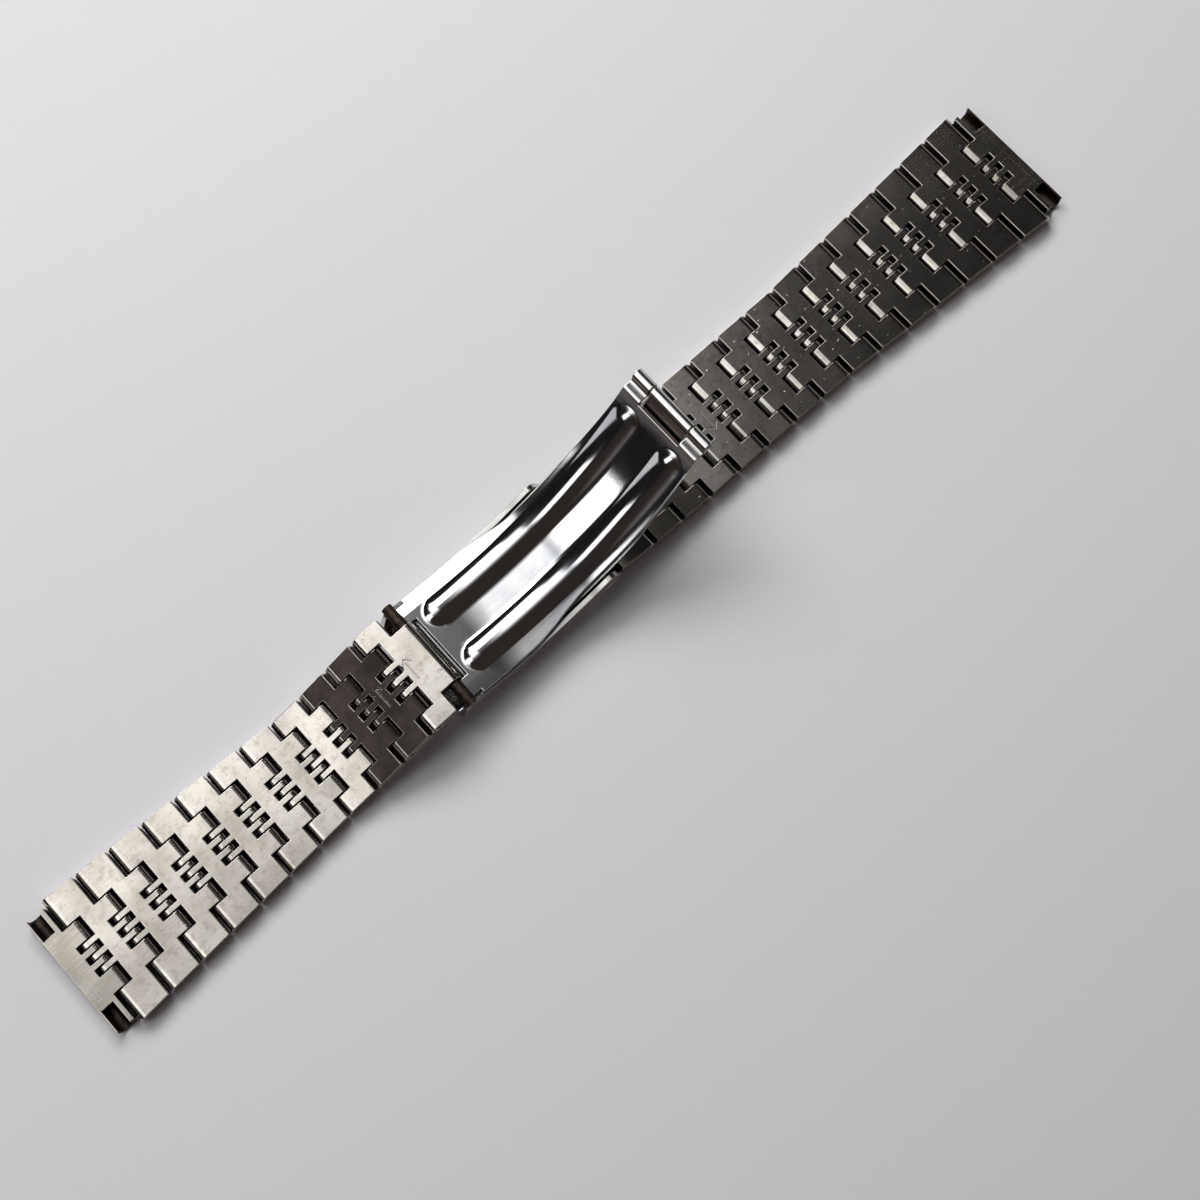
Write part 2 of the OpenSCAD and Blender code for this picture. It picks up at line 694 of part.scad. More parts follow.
cover();
cover_hinge_pin();
inner_blade();
blade_hinge_pin();
outer_blade();
clasp_pin();
spring_bar_tube();
spring_bar_spring();
on_bar() mirror([0, 1, 0]) spring_bar_tip();  // spring_bar_tip_front
on_bar() spring_bar_tip();  // spring_bar_tip_back
in_chain("a", 0, 0) end_piece();  // end_piece_a
in_chain("b", 0, 0) end_piece();  // end_piece_b
for (k = [1 : links_a])
    in_chain("a", k, slope("a", k)) link("a", k);
for (k = [1 : links_b])
    in_chain("b", k, slope("b", k)) link("b", k);
for (j = loose_js_a)
    in_chain("a", j, 0) link_pin("a", j);
for (j = loose_js_b)
    in_chain("b", j, 0) link_pin("b", j);
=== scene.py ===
"""Steel watch bracelet on a pale table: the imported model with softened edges, steel finishes and studio light.

Lengths are in millimetres unless a name says otherwise, and Blender's own units are metres.
"""
import sys

import json
import logging
import math
from collections.abc import Mapping, Sequence
from dataclasses import dataclass, field, replace
from enum import Enum
from typing import Any

import bmesh
import bpy
from mathutils import Matrix, Vector


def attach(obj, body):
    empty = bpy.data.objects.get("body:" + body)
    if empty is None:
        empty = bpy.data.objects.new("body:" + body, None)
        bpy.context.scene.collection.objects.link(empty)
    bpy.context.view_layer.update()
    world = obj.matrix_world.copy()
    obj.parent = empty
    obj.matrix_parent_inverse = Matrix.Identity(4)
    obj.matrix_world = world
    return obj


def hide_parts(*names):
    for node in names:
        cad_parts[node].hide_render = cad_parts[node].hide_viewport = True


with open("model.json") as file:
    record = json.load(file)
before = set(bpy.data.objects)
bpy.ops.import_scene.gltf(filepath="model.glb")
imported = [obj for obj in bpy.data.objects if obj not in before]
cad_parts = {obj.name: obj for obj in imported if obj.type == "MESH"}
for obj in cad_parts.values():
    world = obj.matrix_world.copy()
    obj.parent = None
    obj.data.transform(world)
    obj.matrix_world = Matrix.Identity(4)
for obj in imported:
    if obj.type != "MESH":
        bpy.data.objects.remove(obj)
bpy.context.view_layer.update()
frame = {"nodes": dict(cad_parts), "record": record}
MM = 0.001
log = logging.getLogger("bracelet")

# Places in a piece's list of materials: every piece has the first two, the end pieces and the outer blade have more
FLAT, ROUNDING = 0, 1
# Slots for the steels with painted shade
NOTCH_SHADE = 2
HINGE_SHADE, EAR_SHADE = 2, 3

# What the patterns in the steel have in common. A noise runs from 0 to 1, and most of it lies from 0.3 to 0.7.
GRAIN_SHARE = 0.35
DULL_RANGE = (0.5, 0.9)
STAIN_RANGE = (0.5, 0.74)
NICK_RANGE = (0.79, 0.85)
NICK_DEPTH = 0.014
# The ambient occlusion over which the painted shade in gaps and the dirt's roughness set in
GAP_SHADE_AND_DIRT_RANGE = (0.35, 0.78)
DIRT_ROUGHNESS = 0.5
# Direction of each family of scratches in degrees, and its distance between scratches as a share of the usual one
SCRATCH_FAMILIES = ((24.0, 1.0), (-37.0, 1.4), (78.0, 0.8))
SCRATCH_STRETCH = 12
SCRATCH_BAND = 0.012
# How steeply a lamp fades towards its sides
FADE_POWER = 2.5

Colour = tuple[float, float, float, float]
Point = tuple[float, float, float]


def linear(hex_colour: str) -> Colour:
    """Turns an sRGB colour into the linear one that shaders use.

    Args:
        hex_colour: The colour as "#rrggbb".

    Returns:
        Red, green, blue and an alpha of 1.
    """
    parts = [int(hex_colour[i:i + 2], 16) / 255 for i in (1, 3, 5)]
    red, green, blue = (c / 12.92 if c <= 0.04045 else ((c + 0.055) / 1.055) ** 2.4 for c in parts)
    return (red, green, blue, 1.0)


def add(tree: bpy.types.NodeTree, kind: str, inputs: Mapping[str | int, Any] | None = None,
        **settings: Any) -> bpy.types.Node:
    """Adds a shader node with its settings and links.

    Args:
        tree: The node tree that gets it.
        kind: Blender's name of the node type.
        inputs: Value or source socket of each input, by its name or number.
        **settings: The node's own properties.

    Returns:
        The new node.
    """
    node = tree.nodes.new(kind)
    for name, value in settings.items():
        setattr(node, name, value)
    for name, value in (inputs or {}).items():
        if isinstance(value, bpy.types.NodeSocket):
            tree.links.new(value, node.inputs[name])
        else:
            node.inputs[name].default_value = value
    return node


def direction(azimuth: float, elevation: float) -> Vector:
    """A direction in the model's frame.

    Args:
        azimuth: Degrees from +X towards +Y.
        elevation: Degrees above the table.

    Returns:
        The unit vector that points there.
    """
    a, e = math.radians(azimuth), math.radians(elevation)
    return Vector((math.cos(a) * math.cos(e), math.sin(a) * math.cos(e), math.sin(e)))


class Shine(Enum):
    """How the surface of a steel piece was finished, which sets the axis that its grain follows."""
    BRUSHED = "brushed along the bracelet"
    POLISHED = "buffed on a wheel"
    DRAWN = "drawn or turned about an axis across the bracelet"

    def grain(self, gap: float, length: float) -> tuple[float, float, float]:
        """Gives the size of the grain along X, Y and Z.

        Args:
            gap: Distance between two lines.
            length: Length of a line.

        Returns:
            The three sizes.
        """
        if self is Shine.DRAWN:
            return (gap, length, gap)
        return (length, gap, gap if self is Shine.BRUSHED else length)


@dataclass(frozen=True)
class Steel:
    """Stainless steel with brush lines or buffing marks, smudges and fine scratches, and painted shade where asked
    for.

    The grain is what the last grit or the drawing die left, and it spreads reflections across its lines. Gaps, sizes,
    lengths, depths and reaches are real ones. A pattern whose size or depth is 0 is left out.
    """
    name: str
    colour: str
    dull_colour: str
    shine: Shine
    roughness: float
    dull_roughness: float
    grain_gap: float
    grain_length: float
    grain_depth: float
    smudge_size: float
    scratch_gap: float
    scratch_depth: float
    warp_size: float = 6.0
    warp_depth: float = 0.0
    nick_size: float = 0.0
    # Painted shade by tilt: steel of this colour shows where the normal's Z is up to the first number, and the
    # painted shade of the main colour is whole from the second
    unshaded_colour: str = ""
    unshaded_tilt: tuple[float, float] = (0.8, 0.9)
    same_below: bool = False
    stain_size: float = 0.0
    stain_share: float = 0.45
    stain_colour: str = "#6f665c"
    # Painted shade in gaps: ambient occlusion within this reach darkens the colour towards this one
    gap_shade_reach: float = 0.0
    gap_shade_colour: str = "#14110f"

    def material(self) -> bpy.types.Material:
        """Builds the material.

        Returns:
            The material, with its colour, roughness and bump driven by patterns in real sizes.
        """
        made = bpy.data.materials.new(self.name)
        made.use_nodes = True
        tree = made.node_tree
        tree.nodes.clear()
        place = add(tree, "ShaderNodeTexCoord").outputs["Object"]
        smudge = self.pattern(tree, place, (self.smudge_size,) * 3, detail=2.0, roughness=0.5)
        grain = self.pattern(tree, place, self.shine.grain(self.grain_gap, self.grain_length), detail=2.0,
                             roughness=0.7)
        streaked = add(tree, "ShaderNodeMath", {0: grain, 1: GRAIN_SHARE, 2: smudge},
                       operation="MULTIPLY_ADD").outputs[0]
        dull = add(tree, "ShaderNodeMapRange", {"Value": streaked, "From Min": DULL_RANGE[0],
                                                "From Max": DULL_RANGE[1]}).outputs[0]
        colour = add(tree, "ShaderNodeMix",
                     {"Factor": dull, "A": linear(self.colour), "B": linear(self.dull_colour)}, data_type="RGBA")
        rough = add(tree, "ShaderNodeMapRange", {"Value": dull, "To Min": self.roughness,
                                                 "To Max": self.dull_roughness}).outputs[0]
        fine = add(tree, "ShaderNodeBump", {"Strength": 1.0, "Distance": self.grain_depth * MM, "Height": grain})
        marks = self.scratches(tree, place)
        cut = add(tree, "ShaderNodeBump", {"Strength": 1.0, "Distance": self.scratch_depth * MM, "Height": marks,
                                           "Normal": fine.outputs[0]}, invert=True)
        normal = cut.outputs[0]
        if self.warp_depth:
            warp = self.pattern(tree, place, (self.warp_size,) * 3, detail=1.0, roughness=0.4)
            normal = add(tree, "ShaderNodeBump", {"Strength": 1.0, "Distance": self.warp_depth * MM,
                                                  "Height": warp, "Normal": normal}).outputs[0]
        if self.nick_size:
            normal = self.nicks(tree, place, normal)
        tint: bpy.types.NodeSocket = colour.outputs["Result"]
        # Painted shade by tilt: the colour changes with the normal's Z, so the parts that lean one way come out
        # darker
        if self.unshaded_colour:
            lean = add(tree, "ShaderNodeSeparateXYZ", {0: add(tree, "ShaderNodeTexCoord").outputs["Normal"]})
            upright = lean.outputs["Z"]
            if self.same_below:
                upright = add(tree, "ShaderNodeMath", {0: upright}, operation="ABSOLUTE").outputs[0]
            flat = add(tree, "ShaderNodeMapRange", {"Value": upright, "From Min": self.unshaded_tilt[0],
                                                    "From Max": self.unshaded_tilt[1]}).outputs[0]
            tint = add(tree, "ShaderNodeMix", {"Factor": flat, "A": linear(self.unshaded_colour), "B": tint},
                       data_type="RGBA").outputs["Result"]
        if self.stain_size:
            spots = self.pattern(tree, place, (self.stain_size,) * 3, detail=4.0, roughness=0.65)
            share = add(tree, "ShaderNodeMapRange", {"Value": spots, "From Min": STAIN_RANGE[0],
                                                     "From Max": STAIN_RANGE[1],
                                                     "To Max": self.stain_share}).outputs[0]
            tint = add(tree, "ShaderNodeMix", {"Factor": share, "A": tint, "B": linear(self.stain_colour)},
                       data_type="RGBA").outputs["Result"]
        # Painted shade: ambient occlusion darkens the colour in gaps and makes it rougher
        if self.gap_shade_reach:
            tint, rough = self.gap_shade(tree, tint, rough)
        shader = add(tree, "ShaderNodeBsdfPrincipled",
                     {"Base Color": tint, "Metallic": 1.0, "Roughness": rough, "Normal": normal})
        add(tree, "ShaderNodeOutputMaterial", {"Surface": shader.outputs[0]})
        return made

    def nicks(self, tree: bpy.types.NodeTree, place: bpy.types.NodeSocket,
              normal: bpy.types.NodeSocket) -> bpy.types.NodeSocket:
        """Adds small dents from knocks, which glint.

        Args:
            tree: The material's node tree.
            place: Socket with the position on the piece, in metres.
            normal: Socket with the normal that they change.

        Returns:
            The changed normal.
        """
        spot = self.pattern(tree, place, (self.nick_size,) * 3, detail=0.0)
        dent = add(tree, "ShaderNodeMapRange", {"Value": spot, "From Min": NICK_RANGE[0],
                                                "From Max": NICK_RANGE[1]}).outputs[0]
        return add(tree, "ShaderNodeBump", {"Strength": 1.0, "Distance": self.nick_size * NICK_DEPTH * MM,
                                            "Height": dent, "Normal": normal}, invert=True).outputs[0]

    def gap_shade(self, tree: bpy.types.NodeTree, tint: bpy.types.NodeSocket,
              rough: bpy.types.NodeSocket) -> tuple[bpy.types.NodeSocket, bpy.types.NodeSocket]:
        """Adds painted shade in gaps: where ambient occlusion finds a gap, the colour darkens and the surface gets
        rougher as dirt would make it.

        Args:
            tree: The material's node tree.
            tint: Socket with the colour before the painted shade.
            rough: Socket with the clean roughness.

        Returns:
            The colour with the painted shade, and the roughness with the dirt.
        """
        opening = add(tree, "ShaderNodeAmbientOcclusion", {"Distance": self.gap_shade_reach * MM}, samples=6)
        shade_and_dirt = add(tree, "ShaderNodeMapRange", {"Value": opening.outputs["AO"], "From Min": GAP_SHADE_AND_DIRT_RANGE[0],
                                                "From Max": GAP_SHADE_AND_DIRT_RANGE[1], "To Min": 1.0, "To Max": 0.0}).outputs[0]
        dark = add(tree, "ShaderNodeMix", {"Factor": shade_and_dirt, "A": tint, "B": linear(self.gap_shade_colour)},
                   data_type="RGBA")
        blurred = add(tree, "ShaderNodeMix", {"Factor": shade_and_dirt, "A": rough, "B": DIRT_ROUGHNESS}, data_type="FLOAT")
        return dark.outputs["Result"], blurred.outputs["Result"]

    def pattern(self, tree: bpy.types.NodeTree, place: bpy.types.NodeSocket, size: Sequence[float],
                turn: float = 0.0, **noise: float) -> bpy.types.NodeSocket:
        """Adds a noise whose features have a real size along each axis.

        Args:
            tree: The material's node tree.
            place: Socket with the position on the piece, in metres.
            size: Length of a feature along X, Y and Z.
            turn: Degrees by which the pattern is turned about Z.
            **noise: Detail and roughness of the noise.

        Returns:
            The noise, from 0 to 1.
        """
        scaled = add(tree, "ShaderNodeMapping", {"Vector": place, "Rotation": (0.0, 0.0, math.radians(turn)),
                                                 "Scale": tuple(1 / (s * MM) for s in size)})
        inputs = {"Vector": scaled.outputs[0], "Scale": 1.0}
        inputs.update({key.capitalize(): value for key, value in noise.items()})
        return add(tree, "ShaderNodeTexNoise", inputs).outputs[0]

    def scratches(self, tree: bpy.types.NodeTree, place: bpy.types.NodeSocket) -> bpy.types.NodeSocket:
        """Adds long thin marks in three directions.

        Args:
            tree: The material's node tree.
            place: Socket with the position on the piece, in metres.

        Returns:
            1 in a scratch and 0 beside it.
        """
        total = None
        for turn, share in SCRATCH_FAMILIES:
            # Real scratches are a few hundredths of a millimetre wide. These are drawn about 0.05 mm wide to show.
            size = (SCRATCH_STRETCH * self.scratch_gap, share * self.scratch_gap, self.scratch_gap)
            band = self.pattern(tree, place, size, turn=turn, detail=0.0)
            off = add(tree, "ShaderNodeMath", {0: band, 1: 0.5}, operation="SUBTRACT").outputs[0]
            near = add(tree, "ShaderNodeMath", {0: off}, operation="ABSOLUTE").outputs[0]
            mark = add(tree, "ShaderNodeMapRange", {"Value": near, "From Min": 0.0, "From Max": SCRATCH_BAND,
                                                    "To Min": 1.0, "To Max": 0.0}).outputs[0]
            total = mark if total is None else add(tree, "ShaderNodeMath", {0: total, 1: mark},
                                                   operation="MAXIMUM").outputs[0]
        return total


# Blanked from strip, tumbled and brushed: a warm grey that blurs what it reflects across the lines, with painted
# shade in its gaps
LINK_STEEL = Steel(
    name="tumbled_brushed_stainless_steel", colour="#cdc8c0", dull_colour="#aaa49c", shine=Shine.BRUSHED,
    roughness=0.13, dull_roughness=0.17, grain_gap=0.14, grain_length=5.0, grain_depth=0.0004, smudge_size=6.0,
    scratch_gap=6.0, scratch_depth=0.0008, warp_size=8.0, warp_depth=0.06, nick_size=0.5, stain_size=0.9,
    gap_shade_reach=1.4)
# The flats of the two links beside the clasp are painted dark brown as shade, and only their knuckles keep the pale
# steel colour
TILT_SHADE_LINK_STEEL = Steel(
    name="filmed_brushed_stainless_steel", colour="#36302d", dull_colour="#292522", shine=Shine.BRUSHED,
    roughness=0.2, dull_roughness=0.28, grain_gap=0.14, grain_length=5.0, grain_depth=0.0005, smudge_size=3.0,
    scratch_gap=6.0, scratch_depth=0.001, nick_size=0.5, unshaded_colour="#c4beb5", unshaded_tilt=(0.885, 0.92),
    gap_shade_reach=1.4)
# Milled and given a satin finish: greyer than the links, with shorter lines and the scratches of a pin tool, and
# painted shade in its gaps
END_STEEL = Steel(
    name="satin_stainless_steel", colour="#b0aba2", dull_colour="#948f86", shine=Shine.BRUSHED,
    roughness=0.16, dull_roughness=0.22, grain_gap=0.12, grain_length=3.0, grain_depth=0.0005, smudge_size=4.0,
    scratch_gap=2.2, scratch_depth=0.003, nick_size=0.45, gap_shade_reach=1.4)
# Painted shade for notches, bores and the ears of the blade: nearly black, with a dull brown shine
DEEP_SHADE_STEEL = Steel(
    name="deep_painted_shade_steel", colour="#4a4038", dull_colour="#2a241f", shine=Shine.POLISHED,
    roughness=0.4, dull_roughness=0.6, grain_gap=0.2, grain_length=0.3, grain_depth=0.01, smudge_size=0.8,
    scratch_gap=2.0, scratch_depth=0.002)
# Corners that tumbling and wear have rounded and burnished: they catch the window as thin bright lines
EDGE_STEEL = Steel(
    name="burnished_steel_edge", colour="#d0cbc3", dull_colour="#c0bab1", shine=Shine.POLISHED,
    roughness=0.14, dull_roughness=0.2, grain_gap=0.1, grain_length=1.0, grain_depth=0.0003, smudge_size=4.0,
    scratch_gap=6.0, scratch_depth=0.0005)
# Cold-rolled sheet, polished on a buff: a nearly clear mirror with a bluish haze where it is worn
SHEET_STEEL = Steel(
    name="buffed_stainless_sheet", colour="#dfdedc", dull_colour="#c6c9cf", shine=Shine.POLISHED,
    roughness=0.075, dull_roughness=0.14, grain_gap=0.2, grain_length=5.0, grain_depth=0.0002, smudge_size=4.0,
    scratch_gap=3.2, scratch_depth=0.0007, warp_depth=0.02)
# Round the hinges all that leans over is painted dark brown as shade, and only the tops keep the bright sheet colour;
# its gaps get painted shade too
TILT_SHADE_SHEET_STEEL = replace(
    SHEET_STEEL, name="stainless_sheet_painted_shade_on_flanks", colour="#5b5048", dull_colour="#443b35", roughness=0.13,
    dull_roughness=0.2, unshaded_colour="#dfdedc", unshaded_tilt=(0.66, 0.58), same_below=True, gap_shade_reach=1.2)
# The same sheet, dulled by years on tables: a softer mirror with more scratches, and painted shade with a dirt's
# roughness in its holes
COVER_STEEL = Steel(
    name="worn_polished_stainless_sheet", colour="#cfcdca", dull_colour="#bbb9b6", shine=Shine.POLISHED,
    roughness=0.1, dull_roughness=0.16, grain_gap=0.15, grain_length=4.0, grain_depth=0.0005, smudge_size=5.0,
    scratch_gap=2.4, scratch_depth=0.002, gap_shade_reach=1.2)
# Drawn through a die: bright, with lines along the wire
PIN_STEEL = Steel(
    name="drawn_stainless_wire", colour="#d6d3ce", dull_colour="#c6c2bc", shine=Shine.DRAWN,
    roughness=0.12, dull_roughness=0.18, grain_gap=0.08, grain_length=2.0, grain_depth=0.0005, smudge_size=2.0,
    scratch_gap=2.0, scratch_depth=0.001)
# Drawn tube with turned tips, left bare: greyer and duller than the pins
BAR_STEEL = Steel(
    name="turned_steel", colour="#b4b1ac", dull_colour="#a09c96", shine=Shine.DRAWN,
    roughness=0.22, dull_roughness=0.3, grain_gap=0.06, grain_length=1.5, grain_depth=0.001, smudge_size=2.0,
    scratch_gap=2.0, scratch_depth=0.001)


@dataclass
class Pieces:
    """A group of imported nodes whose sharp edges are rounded, and that share a finish."""
    names: list[str]
    finish: Steel
    slot: str
    edge_finish: Steel = EDGE_STEEL
    edge_radius: float = 0.1
    edge_segments: int = 3
    sharp_angle: float = 32.0
    materials: dict[str, bpy.types.Material] = field(default_factory=dict)

    def dress(self, store: dict[str, bpy.types.Material]) -> None:
        """Builds and dresses every piece of the group.

        Args:
            store: Materials that are made already, by name.
        """
        self.materials = store
        for name in self.names:
            piece = self.softened(name)
            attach(piece, body_of(name))
            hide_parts(name)
            log.info("%s rides on %s", piece.name, body_of(name))

    def softened(self, node: str) -> bpy.types.Object:
        """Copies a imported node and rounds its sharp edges.

        Args:
            node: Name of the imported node.

        Returns:
            The new piece, with the finish on its faces and the edge finish on its rounded edges.
        """
        mesh = clean_copy(frame["nodes"][node].data, f"{node}_steel")
        mesh.materials.clear()
        mesh.materials.append(kept(self.materials, self.finish))
        mesh.materials.append(kept(self.materials, self.edge_finish))
        piece = bpy.data.objects.new(f"{node}_steel", mesh)
        bpy.context.scene.collection.objects.link(piece)
        weigh_edges(mesh, self.edge_radius, self.sharp_angle)
        round_edges(piece, self.edge_radius, self.edge_segments)
        return piece


@dataclass
class EndPieces(Pieces):
    """The two end pieces, with painted shade in their bores and in the tool notches beside their tabs.

    The places are distances from the middle of the bracelet, the same at both ends.
    """
    gap_shade: Steel = DEEP_SHADE_STEEL
    notch_from: float = 79.0
    notch_to: float = 81.3
    tab_half: float = 5.6
    rim_height: float = 2.3
    bore_spot: tuple[float, float] = (80.13, 1.2)
    bore_radius: float = 0.8
    notch_slack: float = 0.02
    bore_slack: float = 0.03

    def softened(self, node: str) -> bpy.types.Object:
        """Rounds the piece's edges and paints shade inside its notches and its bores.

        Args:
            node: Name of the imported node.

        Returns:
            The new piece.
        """
        piece = super().softened(node)
        piece.data.materials.append(kept(self.materials, self.gap_shade))
        # Painted shade: faces inside the notches and the bores get the nearly black steel
        for face in piece.data.polygons:
            x, y, z = (abs(c) / MM for c in face.center)
            beside_tab = y > self.tab_half - self.notch_slack
            open_notch = self.notch_from < x < self.notch_to and beside_tab and z < self.rim_height
            from_axis = math.hypot(x - self.bore_spot[0], z - self.bore_spot[1])
            if open_notch or from_axis < self.bore_radius + self.bore_slack:
                face.material_index = NOTCH_SHADE
        return piece


def body_of(node: str) -> str:
    """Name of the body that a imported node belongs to."""
    bodies = frame["record"]["behaviour"]["bodies"]
    return next(body for body, members in bodies.items() if node in members)


def clean_copy(source: bpy.types.Mesh, name: str) -> bpy.types.Mesh:
    """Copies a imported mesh, with its corners joined and its flat faces made whole.

    Args:
        source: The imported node's mesh.
        name: Name of the copy.

    Returns:
        The copy, shaded smooth.
    """
    same_spot, same_plane = 1e-7, math.radians(0.5)
    work = bmesh.new()
    work.from_mesh(source)
    bmesh.ops.remove_doubles(work, verts=work.verts, dist=same_spot)
    bmesh.ops.dissolve_limit(work, angle_limit=same_plane, verts=work.verts, edges=work.edges)
    for face in work.faces:
        face.smooth = True
        face.material_index = FLAT
    copy = bpy.data.meshes.new(name)
    work.to_mesh(copy)
    work.free()
    return copy


def weigh_edges(mesh: bpy.types.Mesh, radius: float, sharp_angle: float) -> None:
    """Marks the sharp edges of a mesh for rounding, less where a face beside one is narrow.

    Edges along the bracelet stay crisper than those across it, which rub on the wrist and the sleeve.

    Args:
        mesh: The mesh, in metres.
        radius: Rounding of an edge between wide faces.
        sharp_angle: Degrees from which an edge counts as sharp.
    """
    narrow_share, crisp_share = 0.3, 0.4
    work = bmesh.new()
    work.from_mesh(mesh)
    layer = work.edges.layers.float.new("bevel_weight_edge")
    for edge in work.edges:
        if len(edge.link_faces) != 2 or edge.calc_face_angle() < math.radians(sharp_angle):
            continue
        start = edge.verts[0].co
        along = (edge.verts[1].co - start).normalized()
        reach = min(max((v.co - start).cross(along).length for v in face.verts) for face in edge.link_faces)
        worn = crisp_share + (1 - crisp_share) * (1 - abs(along.x))
        edge[layer] = worn * min(1.0, narrow_share * reach / (radius * MM))
    work.to_mesh(mesh)
    work.free()


def apply_modifiers(piece: bpy.types.Object) -> None:
    """Makes the piece's modifiers part of its mesh."""
    graph = bpy.context.evaluated_depsgraph_get()
    done = bpy.data.meshes.new_from_object(piece.evaluated_get(graph), depsgraph=graph)
    piece.modifiers.clear()
    old, piece.data = piece.data, done
    bpy.data.meshes.remove(old)


@dataclass
class OuterBlade:
    """The polished sheet on top of the clasp, with pressed ribs, rolled ears and two tabs that step down to a roll.

    It follows a cylinder about an axis along Y. Angles are degrees about that axis, from straight below it.
    """
    finish: Steel
    edge_finish: Steel
    hinge_shade_finish: Steel
    ear_shade_finish: Steel
    axis: tuple[float, float] = (-13.0987, 40.2)
    top_radius: float = 35.0
    thickness: float = 0.7
    ear_angle: float = -16.35
    ear_radius: float = 35.15
    ear_roll: float = 0.75
    ear_reach: float = 8.2
    cut_angle: float = -12.96
    cut_half: float = 4.8
    notch_angle: float = -12.75
    notch_half: float = 7.35
    wide_half: float = 7.9
    waist_half: float = 6.75
    waist_angles: tuple[float, float] = (18.2, 30.1)
    end_angle: float = 53.6
    end_half: float = 6.4
    rib_spot: float = 3.8
    rib_half: float = 2.0
    rib_height: float = 0.7
    rib_tips: tuple[float, float] = (-11.6, 51.6)
    rib_foot: float = 0.2
    droop_from: float = 5.9
    droop_slopes: tuple[float, float] = (0.03, 0.14)
    droop_ease: float = 0.4
    straight_below: float = -6.5
    tab_from: float = 3.5
    step_angles: tuple[float, float] = (54.1, 55.6)
    step_depth: float = 0.975
    tab_angle: float = 56.3
    hinge_angle: float = 57.2
    hinge_radius: float = 36.325
    hinge_roll: float = 0.8
    bore: float = 0.46
    ear_seam: float = -60.0
    hinge_seam: float = 128.0
    rim: float = 0.1
    rim_segments: int = 3
    sharp_angle: float = 50.0
    # How far the painted shade of the ears and of the hinge reaches along the sheet, in degrees
    ear_shade_reach: float = 1.4
    hinge_shade_reach: float = 3.1
    # The mesh: angles beside the ears, steps along sheet, lap, step and tab, and rows across
    ear_columns: tuple[float, ...] = (-15.4, -14.8, -14.2, -13.6)
    column_steps: tuple[int, int, int, int] = (200, 2, 12, 3)
    strip_half: float = 1.8
    row_steps: tuple[int, int, int, int] = (6, 14, 11, 9)
    edge_shares: tuple[float, ...] = (0.36, 0.725, 1.0)

    def point(self, radius: float, angle: float, y: float) -> Point:
        """Gives a place in metres from a radius, an angle and a place across."""
        a = math.radians(angle)
        return ((self.axis[0] + radius * math.sin(a)) * MM, y * MM, (self.axis[1] - radius * math.cos(a)) * MM)

    def half_width(self, angle: float) -> float:
        """Gives the sheet's half width, which eases in to a waist and then to the hinge.

        Args:
            angle: Where along the blade.

        Returns:
            The half width.
        """
        first, last = self.waist_angles
        if angle < first:
            return eased(angle, 0.0, first, self.wide_half, self.waist_half)
        return eased(angle, last, self.end_angle, self.waist_half, self.end_half)

    def top(self, angle: float, y: float) -> float:
        """Gives the radius of the upper side, with its ribs and its step.

        Args:
            angle: Where along the blade.
            y: Where across it.

        Returns:
            The radius there.
        """
        along = self.top_radius * math.radians(angle)
        start, finish = (self.top_radius * math.radians(a) for a in self.rib_tips)
        past = max(0.0, start + self.rib_half - along, along - (finish - self.rib_half))
        away = math.hypot(past, abs(y) - self.rib_spot)
        crown = (self.rib_half ** 2 + self.rib_height ** 2) / 2 / self.rib_height
        bulge = math.sqrt(max(0.0, crown ** 2 - away ** 2)) - crown + self.rib_height
        blend = max(0.0, 1 - abs(bulge) / self.rib_foot)
        raised = max(0.0, bulge) + self.rib_foot / 4 * blend ** 2
        past_rib = max(0.0, abs(y) - self.droop_from)
        fade = eased(angle, self.waist_angles[1], self.end_angle, 1.0, 0.0)
        droop = self.droop_slopes[y > 0] * fade * past_rib ** 2 / (past_rib + self.droop_ease)
        # The end beside the ears wasn't bent: it runs on straight
        unbent = self.top_radius / math.cos(math.radians(min(0.0, angle - self.straight_below)))
        return unbent - raised + droop + eased(angle, *self.step_angles, 0.0, self.step_depth)

    def columns(self) -> list[float]:
        """Lists the angles of the mesh, close together where the tabs step down."""
        sheet, lap, step, tab = self.column_steps
        spots = [*self.ear_columns, self.cut_angle]
        spots += spread(self.notch_angle, self.end_angle, sheet)
        spots += spread(self.end_angle, self.step_angles[0], lap)[1:] + spread(*self.step_angles, step)[1:]
        return spots + spread(self.step_angles[1], self.tab_angle, tab)[1:]

    def rows(self) -> list[float]:
        """Lists places across: plain millimetres up to the ribs' outer feet, and shares of the rest from there."""
        strip, rib, tab, side = self.row_steps
        half = spread(0.0, self.strip_half, strip) + spread(self.strip_half, self.tab_from, rib)[1:]
        half += spread(self.tab_from, self.cut_half, tab)[1:] + spread(self.cut_half, self.droop_from, side)[1:]
        half += [self.droop_from + share for share in self.edge_shares]
        return [-y for y in reversed(half[1:])] + half

    def across(self, row: float, angle: float) -> float:
        """Turns a row into a place across the sheet at an angle.

        Args:
            row: The row, where the last unit stands for what is left up to the edge.
            angle: Where along the blade.

        Returns:
            The place across.
        """
        beyond = abs(row) - self.droop_from
        if beyond <= 0:
            return row
        return math.copysign(self.droop_from + beyond * (self.half_width(angle) - self.droop_from), row)

    def there(self, angle: float, y: float) -> bool:
        """Tells whether the sheet has steel at a place.

        Args:
            angle: Where along the blade.
            y: Where across it.

        Returns:
            False in the cut-out, the side notches and the gap between the tabs.
        """
        if angle < self.cut_angle and abs(y) < self.cut_half:
            return False
        if angle < self.notch_angle and abs(y) > self.notch_half:
            return False
        return angle < self.end_angle or abs(y) > self.tab_from

